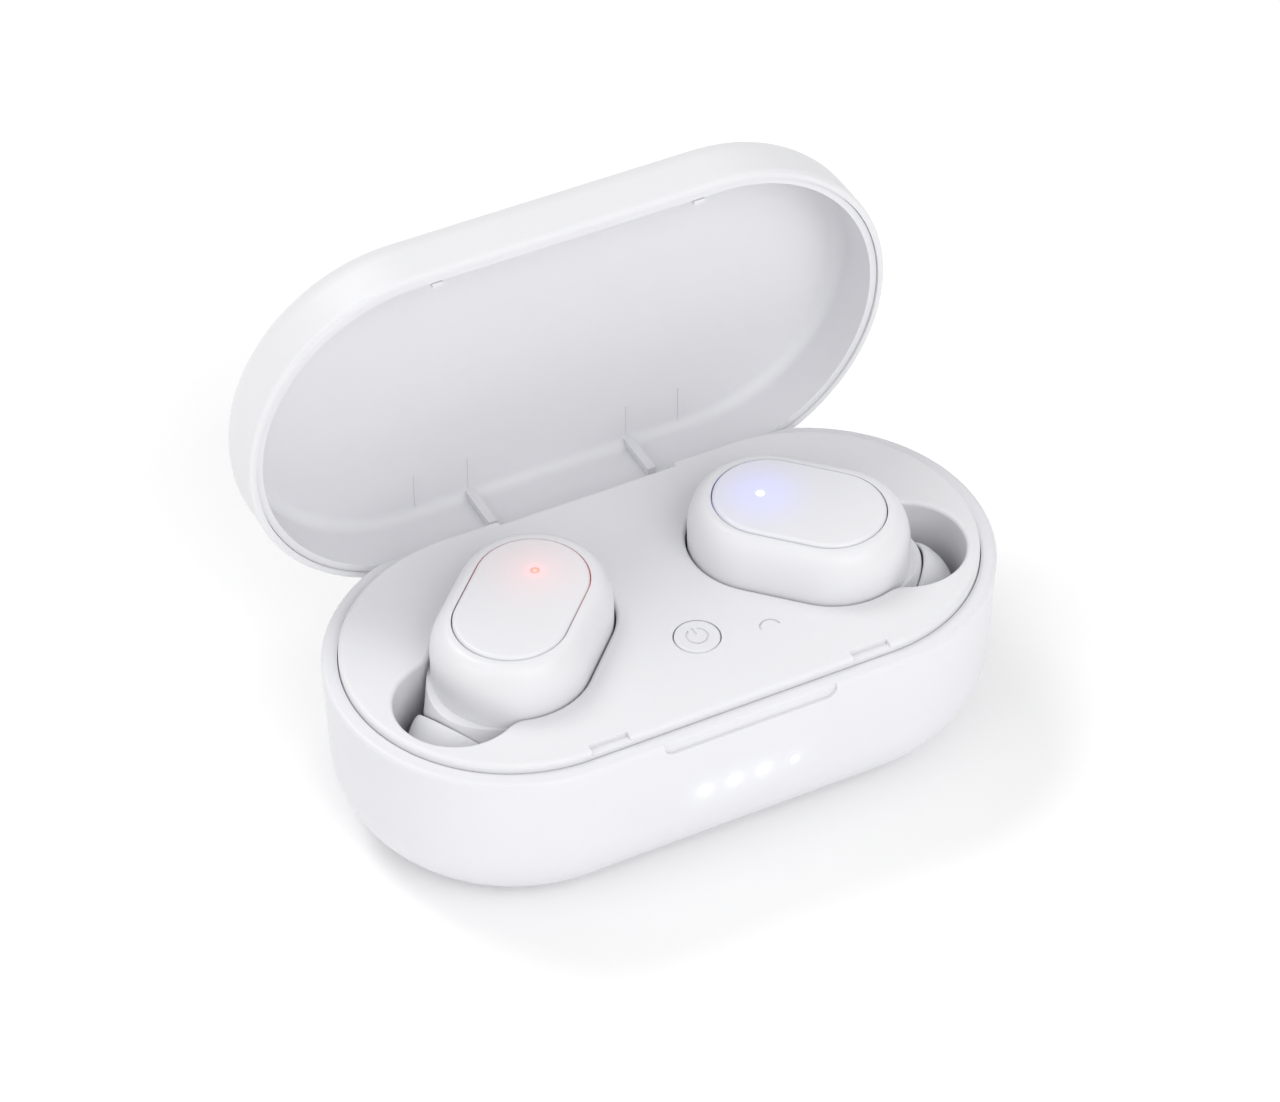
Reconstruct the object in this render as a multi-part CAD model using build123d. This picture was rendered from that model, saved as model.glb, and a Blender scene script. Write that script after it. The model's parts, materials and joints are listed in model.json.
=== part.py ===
from build123d import *
from math import cos, radians, sin, sqrt
import os

# A charging case for a pair of wireless earbuds, standing open.
# Frame: +X along the case, -Y the front, +Z up, origin at the centre of the flat underside.
# Sizes are in millimetres. The lid is drawn closed and then swung to its open stop.

# ---- case shell ----
case_length = 75.0
case_width = 40.0
base_height = 20.5
shell_wall = 1.7
floor_wall = 1.6
shell_draft = 2.0
base_round = 9.4
rim_round = 0.5
ledge_width = 0.8
ledge_height = 1.2

# ---- tray ----
tray_gap = 0.15
tray_rise = 1.0
tray_plate = 2.0
tray_round = 0.45
hinge_bay_length = 20.8
hinge_bay_depth = 0.6
cup_wall = 0.8
cup_round = 2.0
seat_height = 5.8
seat_sink = 0.2
pocket_lip = 0.45
lip_margin = 0.05
bay_round = 0.5

# ---- earbuds ----
bud_y = 0.2
bud_turn = 45.0
bud_length = 24.0
bud_width = 16.8
bud_stand = 5.6
bud_height = 12.9
bud_seam_drop = 1.5
bud_wall = 1.0
bud_crown = 4.0
bud_crown_step = 0.2
bud_foot_radius = 5.0
bud_gap = 0.2
face_length = 19.0
face_width = 12.3
face_rise = 0.3
face_thickness = 1.0
face_gap = 0.12
face_travel = 0.3
lamp_reach = 4.3
lamp_side = 0.0
lamp_radius = 0.45
contact_radius = 0.9
nozzle_swing = 17.0
nozzle_tilt = 36.0
nozzle_reach = 10.0
nozzle_drop = 4.6
nozzle_root_radius = 6.0
nozzle_neck_radius = 4.9
nozzle_tube_radius = 2.8
nozzle_tube_length = 4.4
nozzle_bore_radius = 2.0
tip_radius = 5.6
tip_end_radius = 3.5
tip_length = 5.8
tip_start = 0.3
tip_gap = 0.15
lobe_swing = 17.5
lobe_past_ring = 1.3
lobe_rim = 1.42
lobe_radius = 6.6
pocket_blend = 3.0

# ---- lid ----
lid_clearance = 0.35
lid_round = 4.2
lid_wall = 0.8
rim_gap = 0.1
liner_gap = 0.05
liner_wall = 0.8
liner_setback = 0.32
liner_round = 1.4
lid_open_angle = 90.0
rib_thickness = 1.0
rib_height = 1.0
rib_spacing = 19.2
line_spacing = 6.4
line_length = 5.4
line_width = 0.25
line_rise = 0.12
hook_length = 1.2
hook_drop = 0.3
hook_thickness = 0.5
hook_clearance = 0.2

# ---- hinge ----
hinge_setback = 2.3
hinge_drop = 2.45
pin_radius = 0.75
pin_length = 24.4
pin_play = 0.05
barrel_radius = 1.3
barrel_room = 0.4
barrel_end_gap = 0.2
knuckle_length = 9.6
ear_length = 1.8
back_relief = 2.3

# ---- controls, lights and sockets ----
button_from_front = 12.2
button_radius = 2.45
button_play = 0.12
button_proud = 0.1
button_travel = 0.5
button_head = 1.4
guide_wall = 0.8
stem_radius = 0.9
switch_size = 3.4
switch_body = 1.5
plunger_rise = 0.6
plunger_radius = 0.8
mark_x = 7.5
mark_ahead = 2.1
mark_radius = 1.2
mark_line = 0.25
mark_depth = 0.2
led_pitch = 3.46
led_count = 4
led_drop = 8.6
led_size = 1.2
pipe_radius = 0.65
pipe_gap = 0.03
pipe_setback = 0.12
slot_x = 15.1
slot_length = 4.4
slot_width = 1.1
slot_depth = 0.5
slot_setback = 0.5
notch_length = 20.0
notch_depth = 1.5
notch_inset = 0.4
notch_round = 1.2
board_thickness = 1.0
board_half_width = 9.0
usb_width = 8.94
usb_height = 3.2
usb_depth = 7.2
usb_drop = 11.2
usb_setback = 0.35
usb_gap = 0.15
pogo_spacing = 4.0
pogo_radius = 0.6
pogo_play = 0.06
pogo_reach = 4.9
magnet_radius = 1.8
dock_magnet_height = 3.0
bud_magnet_height = 1.4
magnet_reach = 1.4
seat_back = -1.0
seat_front = 6.6
seat_half_width = 4.2
fit_gap = 0.1

# ---- worked out from the above ----
tray_top = base_height + tray_rise
tray_inset = shell_wall + tray_gap
tray_under = tray_top - tray_plate
bud_top = tray_top + bud_stand
bud_bottom = bud_top - bud_height
bud_seam = tray_top - bud_seam_drop
pocket_floor = bud_bottom - seat_height
nozzle_height = bud_seam - nozzle_drop
nozzle_turn = bud_turn - nozzle_swing
lobe_turn = radians(bud_turn - lobe_swing)
lobe_reach = nozzle_reach + lobe_past_ring
lobe_y = bud_y - lobe_reach * sin(lobe_turn)
# the earbuds lie as far out as the rim of tray left beyond their lobes lets them
end_x = (case_length - case_width) / 2
lobe_from_end = case_width / 2 - tray_inset - lobe_rim - lobe_radius
lobe_x = end_x + sqrt(lobe_from_end ** 2 - lobe_y ** 2)
bud_x = lobe_x - lobe_reach * cos(lobe_turn)
lid_height = bud_top + face_rise + lid_clearance + liner_wall + liner_gap + lid_wall - base_height
hinge_y = case_width / 2 - hinge_setback
hinge_z = base_height - hinge_drop
button_y = button_from_front - case_width / 2
mark_y = button_y - mark_ahead
led_height = base_height - led_drop
usb_z = base_height - usb_drop
board_front = shell_wall + 1.4 - case_width / 2
seat_top = bud_bottom - fit_gap
ledge_top = tray_under - fit_gap

os.makedirs("parts", exist_ok=True)


def save(name, shape):
    """Writes one node's STEP file."""
    export_step(Compound(children=solids_of(shape)), f"parts/{name}.step")


def solids_of(shape):
    """A shape's solids as a plain list."""
    if isinstance(shape, (list, tuple)):
        return [solid for item in shape for solid in solids_of(item)]
    return list(shape.solids())


def block(x0, x1, y0, y1, z0, z1):
    """A box given by its two corners."""
    centre = Pos((x0 + x1) / 2, (y0 + y1) / 2, (z0 + z1) / 2)
    return centre * Box(x1 - x0, y1 - y0, z1 - z0)


def post(x, y, z0, z1, radius):
    """An upright cylinder from z0 to z1."""
    return Pos(x, y, (z0 + z1) / 2) * Cylinder(radius, z1 - z0)


def bar_x(x0, x1, y, z, radius):
    """A round bar lying along X."""
    return Pos((x0 + x1) / 2, y, z) * Rot(0, 90, 0) * Cylinder(radius, x1 - x0)


def bar_y(x, y0, y1, z, radius):
    """A round bar lying along Y."""
    return Pos(x, (y0 + y1) / 2, z) * Rot(90, 0, 0) * Cylinder(radius, y1 - y0)


def oval(length, width, inset=0.0):
    """The racetrack outline shared by the case and the earbuds, drawn inset from its edge."""
    return SlotOverall(length - 2 * inset, width - 2 * inset)


def slab(outline, z0, z1):
    """An outline raised straight up between two heights."""
    return extrude(Pos(0, 0, z0) * outline, z1 - z0)


def edges_at(shape, z, tolerance=0.01):
    """The edges of a shape that lie level at height z."""
    return [
        edge
        for edge in shape.edges()
        if abs(edge.bounding_box().min.Z - z) < tolerance
        and abs(edge.bounding_box().max.Z - z) < tolerance
    ]


def tub(inset, top, bottom, round_radius):
    """A drafted racetrack block with a rounded underside, as deep as the base or its cavity."""
    start = Plane(origin=(0, 0, top), z_dir=(0, 0, -1))
    body = extrude(start * oval(case_length, case_width, inset), top - bottom, taper=shell_draft)
    return fillet(edges_at(body, bottom), round_radius)


def dome(inset, bottom, top, round_radius):
    """A straight-sided racetrack block with a rounded top edge, as the lid or its cavity."""
    body = slab(oval(case_length, case_width, inset), bottom, top)
    return fillet(edges_at(body, top), round_radius)


def swing_open(shape):
    """Turns the lid's pieces from closed to their open stop, about the hinge pin."""
    return Pos(0, hinge_y, hinge_z) * Rot(-lid_open_angle, 0, 0) * Pos(0, -hinge_y, -hinge_z) * shape


# ---- earbud frame: local +X is the long axis away from the nozzle, local origin under the bud ----
bud_place = Pos(-bud_x, bud_y, 0) * Rot(0, 0, bud_turn)


def mirrored(shape):
    """The right-hand copy of a left-hand piece."""
    return [mirror(solid, about=Plane.YZ) for solid in solids_of(shape)]


def nozzle_frame(distance):
    """A plane across the nozzle's axis, its normal pointing out of the ear tip."""
    turn = radians(180 + nozzle_turn)
    tilt = radians(nozzle_tilt)
    out = Vector(cos(turn) * cos(tilt), sin(turn) * cos(tilt), -sin(tilt))
    ring = Vector(-bud_x + nozzle_reach * cos(turn), bud_y + nozzle_reach * sin(turn), nozzle_height)
    return Plane(origin=ring + out * distance, z_dir=out)


def bud_outline(inset=0.0):
    """The earbud's racetrack outline, turned and placed in the left pocket."""
    return bud_place * oval(bud_length, bud_width, inset)


def pocket_outline(grow):
    """The left pocket's outline: the body's oval blended into the round lobe for the ear tip."""
    lobe = Pos(-lobe_x, lobe_y) * Circle(lobe_radius + grow)
    joined = bud_outline(-bud_gap - grow) + lobe
    corners = [
        corner
        for corner in joined.vertices()
        if abs((Vector(corner) - Vector(-lobe_x, lobe_y)).length - lobe_radius - grow) < 0.001
    ]
    return fillet(corners, pocket_blend)


def pocket_solid(grow, bottom, top):
    """The pocket's outline raised between two heights."""
    return slab(pocket_outline(grow), bottom, top)


# ---- base shell ----
def make_base_shell():
    """The lower half of the case: a rounded tub with a ledge, hinge ears and openings."""
    outer = tub(0, base_height, 0, base_round)
    outer = fillet(edges_at(outer, base_height), rim_round)
    shell = outer - tub(shell_wall, base_height + 1, floor_wall, base_round - floor_wall)
    ledge_bottom = ledge_top - ledge_height
    ring = slab(oval(case_length, case_width, shell_wall - 0.4), ledge_bottom, ledge_top)
    ring -= slab(oval(case_length, case_width, shell_wall + ledge_width), ledge_bottom - 1, ledge_top + 1)
    ring -= both_sides(pocket_solid(cup_wall + tray_gap, ledge_bottom - 1, ledge_top + 1))
    shell += ring & tub(0.8, base_height, 0.5, base_round)
    # ears that hold the hinge pin, one at each end of the hinge bay
    ear_inner = hinge_bay_length / 2 + barrel_end_gap
    for side in (-1, 1):
        near, far = sorted((side * ear_inner, side * (ear_inner + ear_length)))
        ear = block(near, far, hinge_y - 2.2, case_width / 2 - 0.6, hinge_z - 3.2, hinge_z + barrel_radius)
        shell += ear
    shell -= hinge_bay()
    # the back edge is rolled about the hinge axis, so the lid's rim can swing past it
    far_corner = block(-case_length, case_length, hinge_y, case_width, hinge_z, tray_top + 1)
    shell -= far_corner - bar_x(-case_length, case_length, hinge_y, hinge_z, back_relief)
    shell += centre_knuckle()
    shell -= bar_x(-pin_length / 2, pin_length / 2, hinge_y, hinge_z, pin_radius + 0.005)
    # thumb scoop in the front of the rim
    notch = block(
        -notch_length / 2, notch_length / 2,
        -case_width, -case_width / 2 + notch_inset,
        base_height - notch_depth, base_height + notch_depth,
    )
    notch = fillet(notch.edges().filter_by(Axis.Y).group_by(Axis.Z)[0], notch_round)
    shell -= notch
    # charging inlet through the back wall
    shell -= inlet_cut(usb_gap, case_width / 2 + 2)
    # light windows in the front wall
    for index in range(led_count):
        shell -= bar_y(led_x(index), -case_width / 2 - 1, board_front, led_height, pipe_radius + pipe_gap)
    # bosses that carry the charge board
    for x in (-board_half_width + 2, board_half_width - 2):
        boss = post(x, charge_board_y(), 0, usb_board_bottom() - 0.05, 1.4)
        shell += boss & tub(shell_wall / 2, base_height, floor_wall / 2, base_round)
    return shell


def hinge_bay():
    """The gap in the back wall where the lid's barrel turns."""
    half = hinge_bay_length / 2 + barrel_end_gap
    low = hinge_z - barrel_radius - 2 * barrel_room
    return block(-half, half, hinge_y - barrel_radius - barrel_room, case_width, low, tray_top + 1)


def centre_knuckle():
    """The base's own barrel between the lid's two, on a web from the back wall."""
    half = knuckle_length / 2
    barrel = bar_x(-half, half, hinge_y, hinge_z, barrel_radius)
    foot = hinge_z - barrel_radius - 2 * barrel_room - 1.0
    front = hinge_y - barrel_radius + 0.3
    return barrel + block(-half, half, front, case_width / 2 - 0.6, foot, hinge_z - 0.3)


def led_x(index):
    """Where each light in the front row sits."""
    return (index - (led_count - 1) / 2) * led_pitch


def usb_board_bottom():
    """The charge board's underside, set by the inlet that stands on it."""
    return usb_z - usb_height / 2 - board_thickness


def charge_board_y():
    """The middle of the charge board, just inside the back wall."""
    return case_width / 2 - shell_wall - 3.4


def inlet_cut(gap, reach):
    """The charging inlet's opening, a flat slot with round ends through the back wall."""
    outline = Plane(origin=(0, reach, usb_z), x_dir=(1, 0, 0), z_dir=(0, -1, 0))
    slot = SlotOverall(usb_width + 2 * gap, usb_height + 2 * gap)
    return extrude(outline * slot, 6)


# ---- tray ----
def make_tray():
    """The plate that closes the base, with a cup for each earbud."""
    plate = slab(oval(case_length, case_width, tray_inset), tray_under, tray_top)
    bay_edge = case_width / 2 - tray_inset - hinge_bay_depth
    half_bay = hinge_bay_length / 2
    plate -= block(-half_bay, half_bay, bay_edge, case_width, 0, tray_top + 1)
    plate = fillet(bay_corners(plate), bay_round)
    plate = fillet(edges_at(plate, tray_top), tray_round)
    plate -= both_sides(pocket_solid(0, tray_under - 1, tray_top + 1))
    lips = [edge for edge in edges_at(plate, tray_top) if on_pocket(edge)]
    plate = fillet(lips, min(pocket_lip, lobe_rim - tray_round - lip_margin))
    # a skirt closes the tray in front of the barrel
    skirt_low = hinge_z - barrel_radius - 2.0
    skirt_back = hinge_y - barrel_radius - barrel_room
    plate += block(-half_bay, half_bay, skirt_back - cup_wall, skirt_back, skirt_low, tray_under + 0.5)
    plate += both_sides(pocket_cup())
    plate += both_sides(bud_seat())
    plate -= both_sides([magnet_bore()] + pin_bores())
    plate += board_posts()
    guide_radius = button_radius + button_play
    plate += post(0, button_y, guide_bottom(), tray_under + 0.2, guide_radius + guide_wall)
    plate -= post(0, button_y, 0, tray_top + 1, guide_radius)
    for x in (-slot_x, slot_x):
        plate -= latch_slot(x)
    return plate - engraved_mark()


def bay_corners(plate):
    """The upright edges where the hinge bay meets the tray's back edge."""
    half_bay = hinge_bay_length / 2
    upright = plate.edges().filter_by(Axis.Z)
    at_bay = [edge for edge in upright if abs(abs(edge.center().X) - half_bay) < 0.01]
    return [edge for edge in at_bay if edge.center().Y > case_width / 2 - tray_inset - hinge_bay_depth + 0.01]


def both_sides(shape):
    """A left-hand shape together with its mirror image."""
    return Compound(children=solids_of(shape) + mirrored(shape))


def on_pocket(edge):
    """Whether an edge lies round a pocket's mouth, not round the tray's rim."""
    box = edge.bounding_box()
    return max(abs(box.min.Y), abs(box.max.Y)) < case_width / 2 - tray_inset - 3


def pocket_cup():
    """The thin cup hanging under the tray round one pocket."""
    cup = pocket_solid(cup_wall, pocket_floor - cup_wall, tray_under + 0.2)
    cup = fillet(edges_at(cup, pocket_floor - cup_wall), cup_round)
    hole = pocket_solid(0, pocket_floor, tray_top)
    return cup - fillet(edges_at(hole, pocket_floor), cup_round - cup_wall)


def bud_seat():
    """The raised pad in the pocket that the earbud rests on."""
    pad = bud_place * block(
        seat_back, seat_front, -seat_half_width, seat_half_width, pocket_floor - seat_sink, seat_top
    )
    return pad


def magnet_bore():
    """The blind hole under the seat that holds the docking magnet."""
    top = seat_top - 0.9
    return bud_place * post(magnet_reach, 0, pocket_floor - 2 * cup_wall, top, magnet_radius + 0.03)


def pin_bores():
    """The holes that the contact pins reach up through."""
    low = pocket_floor - 2 * cup_wall
    radius = pogo_radius + pogo_play
    return [
        bud_place * post(pogo_reach, y, low, seat_top + 1, radius)
        for y in (-pogo_spacing / 2, pogo_spacing / 2)
    ]


def latch_slot(x):
    """A narrow slot in the tray's front edge for one of the lid's hooks."""
    y = -case_width / 2 + tray_inset + slot_setback
    half = slot_length / 2
    return block(
        x - half, x + half, y - slot_width / 2, y + slot_width / 2,
        tray_top - slot_depth, tray_top + 1,
    )


def engraved_mark():
    """A plain arch cut shallowly into the tray beside the button."""
    ring = post(mark_x, mark_y, tray_top - mark_depth, tray_top + 1, mark_radius)
    ring -= post(mark_x, mark_y, 0, tray_top + 2, mark_radius - mark_line)
    reach = 2 * mark_radius
    return ring - block(mark_x - reach, mark_x + reach, mark_y - reach, mark_y, 0, tray_top + 2)


def guide_bottom():
    """How far down the power button's guide tube reaches."""
    return tray_under - 2.6


def switch_top():
    """The top of the switch's plunger when nobody presses it."""
    return main_board_top() + switch_body + plunger_rise


def main_board_top():
    """The control board's upper face, just under the lamps."""
    return led_height - led_size / 2 - 0.05


# ---- tray fittings ----
def make_power_button():
    """The round push button with a raised power mark, its stem reaching down to the switch."""
    top = tray_top + button_proud
    head = post(0, button_y, tray_top - button_head, top, button_radius)
    head = fillet(edges_at(head, top), 0.25)
    head -= power_mark(top - 0.15, top + 1)
    return head + post(0, button_y, switch_top() + 0.05, tray_top - button_head + 0.1, stem_radius)


def power_mark(z0, z1):
    """An open ring with a short bar through its gap, the usual power sign."""
    ring = post(0, button_y, z0, z1, 1.25) - post(0, button_y, z0 - 1, z1 + 1, 1.0)
    ring -= block(-0.5, 0.5, button_y, button_y + 2, z0 - 1, z1 + 1)
    return ring + block(-0.13, 0.13, button_y + 0.25, button_y + 1.35, z0, z1)


def make_tact_switch():
    """The small switch under the power button."""
    base = main_board_top()
    half = switch_size / 2
    body = block(-half, half, button_y - half, button_y + half, base, base + switch_body)
    return body + post(0, button_y, base + switch_body - 0.1, switch_top() - button_travel, plunger_radius)


def make_main_board():
    """The control board: a bar behind the lights with a tongue back to the switch."""
    top = main_board_top()
    front = board_front
    back = button_y + switch_size / 2 + 0.6
    bar = block(-board_half_width, board_half_width, front, front + 5.0, top - board_thickness, top)
    tongue = block(-2.6, 2.6, front, back, top - board_thickness, top)
    board = bar + tongue
    for x, y in board_screw_places():
        board -= post(x, y, 0, tray_top, 0.85)
    return board


def board_screw_places():
    return [(side * (board_half_width - 1.6), board_front + 3.4) for side in (-1, 1)]


def make_board_screws():
    """Two small screws that hold the control board to posts under the tray."""
    screws = []
    for x, y in board_screw_places():
        low = main_board_top() - board_thickness
        head = post(x, y, low - 0.9, low - 0.02, 1.4)
        head -= block(x - 0.9, x + 0.9, y - 0.15, y + 0.15, low - 1.4, low - 0.55)
        head -= block(x - 0.15, x + 0.15, y - 0.9, y + 0.9, low - 1.4, low - 0.55)
        screws.append(head + post(x, y, low - 0.1, low + 3.4, 0.7))
    return screws


def board_posts():
    """Posts under the tray that take the board's screws."""
    posts = []
    for x, y in board_screw_places():
        column = post(x, y, main_board_top() + 0.05, tray_under + 0.2, 1.5)
        posts.append(column - post(x, y, 0, main_board_top() + 3.6, 0.72))
    return posts


def make_case_lights():
    """Four small lamps standing on the control board's front edge."""
    half = led_size / 2
    front = board_front + 0.1
    low = main_board_top() + 0.01
    return [
        block(led_x(index) - half, led_x(index) + half, front, front + 1.0, low, low + led_size)
        for index in range(led_count)
    ]


def make_light_guide():
    """Clear pipes from the lamps to the front wall, joined by one bar."""
    face = pipe_setback - case_width / 2
    back = board_front
    half = led_pitch * (led_count - 1) / 2 + 1.2
    guide = block(-half, half, back - 0.65, back, led_height - 1.0, led_height + 1.0)
    for index in range(led_count):
        guide += bar_y(led_x(index), face, back, led_height, pipe_radius)
    return guide


# ---- power and charging ----
def make_battery():
    """The flat pouch cell on the case's floor."""
    low = floor_wall + 0.5
    cell = block(-17, 17, -9.5, 9.5, low, pocket_floor - cup_wall - 0.8)
    return fillet(cell.edges().filter_by(Axis.Z), 1.5)


def make_battery_pad():
    """The sticky foam sheet under the cell."""
    return block(-16, 16, -8.5, 8.5, floor_wall + 0.02, floor_wall + 0.48)


def make_charge_board():
    """The small board under the charging inlet."""
    y = charge_board_y()
    low = usb_board_bottom()
    return block(-board_half_width, board_half_width, y - 2.2, y + 2.2, low, low + board_thickness)


def make_usb_socket():
    """The charging inlet: a flat metal shell with round ends and a tongue inside."""
    mouth_y = case_width / 2 - usb_setback
    mouth = Plane(origin=(0, mouth_y, usb_z), x_dir=(1, 0, 0), z_dir=(0, -1, 0))
    low = usb_board_bottom() + board_thickness + 0.01
    half_height = usb_z - low
    shell = extrude(mouth * SlotOverall(usb_width, 2 * half_height), usb_depth)
    shell -= extrude(mouth * SlotOverall(usb_width - 0.6, 2 * half_height - 0.6), usb_depth - 1.2)
    y_back = mouth_y - usb_depth
    return shell + block(-3.2, 3.2, y_back + 0.6, y_back + usb_depth - 1.0, usb_z - 0.35, usb_z + 0.35)


def make_pogo_pins():
    """Two sprung contact pins in the left seat, pressed down by the docked earbud."""
    pins = []
    for y in (-pogo_spacing / 2, pogo_spacing / 2):
        pin = bud_place * post(pogo_reach, y, pocket_floor + 0.6, seat_top + fit_gap - 0.02, pogo_radius)
        pins.append(fillet(edges_at(pin, seat_top + fit_gap - 0.02), 0.25))
    return pins


def make_pogo_board():
    """The contact strip under the left seat that the pins spring from."""
    under = pocket_floor - cup_wall - 0.05
    strip = bud_place * block(pogo_reach - 2.2, pogo_reach + 2.2, -3.6, 3.6, under - 0.6, under)
    return strip


def make_dock_magnet():
    """The magnet under the left seat that pulls the earbud home."""
    top = seat_top - 0.95
    return bud_place * post(magnet_reach, 0, top - dock_magnet_height, top, magnet_radius)


# ---- lid ----
def make_lid_shell():
    """The outer skin of the lid, with the two barrels that turn on the hinge pin."""
    low = base_height + rim_gap
    top = base_height + lid_height
    outer = fillet(edges_at(dome(0, low, top, lid_round), low), rim_round)
    shell = outer - dome(lid_wall, low - 1, top - lid_wall, lid_round - lid_wall)
    half_bay = hinge_bay_length / 2 - barrel_end_gap
    inner = knuckle_length / 2 + barrel_end_gap
    for side in (-1, 1):
        near, far = sorted((side * inner, side * half_bay))
        shell += bar_x(near, far, hinge_y, hinge_z, barrel_radius)
        shell += block(near, far, hinge_y + 0.2, hinge_y + 1.8, hinge_z, low + 0.3)
    shell -= bar_x(-half_bay - 1, half_bay + 1, hinge_y, hinge_z, pin_radius + pin_play)
    return swing_open(shell)


def liner_inset():
    """How far the lining's inner face stands in from the case's edge."""
    return lid_wall + liner_gap + liner_wall


def make_lid_liner():
    """The lid's inner lining, with ribs, pads and the two latch hooks."""
    low = base_height + rim_gap + liner_setback
    skin = lid_wall + liner_gap
    top = base_height + lid_height - skin
    ceiling = top - liner_wall
    liner = dome(skin, low, top, lid_round - skin)
    liner -= dome(liner_inset(), low - 1, ceiling, liner_round)
    inner_face = case_width / 2 - liner_inset()
    room = dome(liner_inset() - 0.2, low, ceiling + 0.2, liner_round)
    for side in (-1, 1):
        x = side * rib_spacing / 2
        half = rib_thickness / 2
        rib_low = tray_top + hook_clearance
        rib = block(x - half, x + half, inner_face - rib_height, case_width, rib_low, tray_top + lid_height)
        liner += rib & room
        for line_x in (x, x + side * line_spacing):
            low_x = line_x - line_width / 2
            line_y = inner_face - line_length
            line = block(low_x, low_x + line_width, line_y, case_width, ceiling - line_rise, ceiling + 1)
            liner += line & room
        liner += latch_hook(side * slot_x)
    return swing_open(liner)


def latch_hook(x):
    """A tab inside the lid's front that presses into the tray's latch slot."""
    half = hook_length / 2
    y = -case_width / 2 + tray_inset + slot_setback
    shelf = tray_top + hook_clearance
    front = -case_width / 2 + liner_inset() - 0.2
    tab = block(x - half, x + half, front, y + hook_thickness / 2, shelf, shelf + 1.0)
    return tab + block(
        x - half, x + half, y - hook_thickness / 2, y + hook_thickness / 2,
        tray_top - hook_drop, shelf + 0.5,
    )


def make_hinge_pin():
    """The steel pin that the lid swings on."""
    return bar_x(-pin_length / 2 + 0.1, pin_length / 2 - 0.1, hinge_y, hinge_z, pin_radius)


# ---- earbuds (left one; the right is its mirror image) ----
def lozenge(length, radius, profile):
    """A racetrack body whose edge follows a profile of radius against height."""
    half = (length - 2 * radius) / 2
    turned = revolve(profile, Axis.Z, 360)
    middle = extrude(Pos(-half, 0, 0) * Rot(0, 0, 90) * profile, 2 * half, dir=(1, 0, 0))
    middle += extrude(Pos(-half, 0, 0) * Rot(0, 0, -90) * profile, 2 * half, dir=(1, 0, 0))
    return Pos(-half, 0, 0) * turned + Pos(half, 0, 0) * turned + middle


def pebble(inset):
    """The earbud's rounded body, or its hollow when inset by a wall."""
    radius = bud_width / 2 - inset
    top = bud_top - inset
    low = bud_bottom + inset
    foot = bud_foot_radius - inset / 2
    shoulder = face_width / 2 + bud_crown_step - inset
    crown_low = bud_top - bud_crown
    with BuildSketch(Plane.XZ) as profile:
        with BuildLine():
            Line((0, low), (foot, low))
            EllipticalCenterArc((foot, bud_seam), radius - foot, bud_seam - low, start_angle=270, arc_size=90)
            Line((radius, bud_seam), (radius, crown_low))
            reach = radius - shoulder
            EllipticalCenterArc((shoulder, crown_low), reach, top - crown_low, start_angle=0, arc_size=90)
            Line((shoulder, top), (0, top))
            Line((0, top), (0, low))
        make_face()
    return bud_place * lozenge(bud_length - 2 * inset, radius, profile.sketch)


def half_space(z0, z1):
    """Everything between two heights, wider than the case."""
    reach = case_length
    return block(-reach, reach, -reach, reach, z0, z1)


def face_recess_floor():
    """The step that the touch face stands over, with room to click."""
    return bud_top + face_rise - face_thickness - face_travel - 0.05


def make_bud_shell():
    """The outer housing, from the seam up to the touch face."""
    shell = pebble(0) & half_space(bud_seam, bud_top + 1)
    roof = face_recess_floor() - bud_wall
    shell -= pebble(bud_wall) & half_space(bud_seam - 1, roof)
    shell -= bud_place * slab(oval(face_length, face_width), face_recess_floor(), bud_top + 1)
    shell -= bud_place * slab(oval(face_length, face_width, 2.2), roof - 1, bud_top)
    return shell


def make_bud_button():
    """The touch face: a racetrack cap that clicks in by a fraction of a millimetre."""
    top = bud_top + face_rise
    cap = bud_place * slab(oval(face_length, face_width, face_gap), top - face_thickness, top)
    cap = fillet(edges_at(cap, top), 0.45)
    return cap - lamp_place() * post(0, 0, 0, top + 1, lamp_radius + 0.03)


def lamp_place():
    """Where the status lamp stands on the earbud's long axis."""
    return bud_place * Pos(lamp_reach, lamp_side, 0)


def make_bud_lamp():
    """The clear pin that brings the status light up through the face."""
    top = bud_top + face_rise
    return lamp_place() * post(0, 0, face_recess_floor() - 1.3, top - 0.03, lamp_radius)


def cone_along(start, end, start_radius, end_radius):
    """A round taper along the nozzle's axis between two distances from its root ring."""
    frame = nozzle_frame((start + end) / 2)
    if start_radius == end_radius:
        return frame * Cylinder(start_radius, end - start)
    return frame * Cone(start_radius, end_radius, end - start)


def make_bud_inner():
    """The inner housing, which rests in the pocket, with the nozzle for the ear tip."""
    keep = half_space(0, bud_seam - 0.02)
    body = pebble(0) & half_space(0, bud_seam)
    root = cone_along(-5.5, 0, nozzle_root_radius, nozzle_neck_radius)
    root += cone_along(-0.2, nozzle_tube_length, nozzle_tube_radius, nozzle_tube_radius)
    body = (body + root) & keep
    hollow = pebble(bud_wall)
    hollow += cone_along(-5.5, -1.0, nozzle_root_radius - bud_wall, nozzle_neck_radius - bud_wall)
    body -= hollow
    body -= cone_along(-4, nozzle_tube_length + 1, nozzle_bore_radius, nozzle_bore_radius)
    for y in (-pogo_spacing / 2, pogo_spacing / 2):
        body -= bud_place * post(pogo_reach, y, 0, bud_bottom + 0.35, contact_radius + 0.03)
    return body


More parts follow.
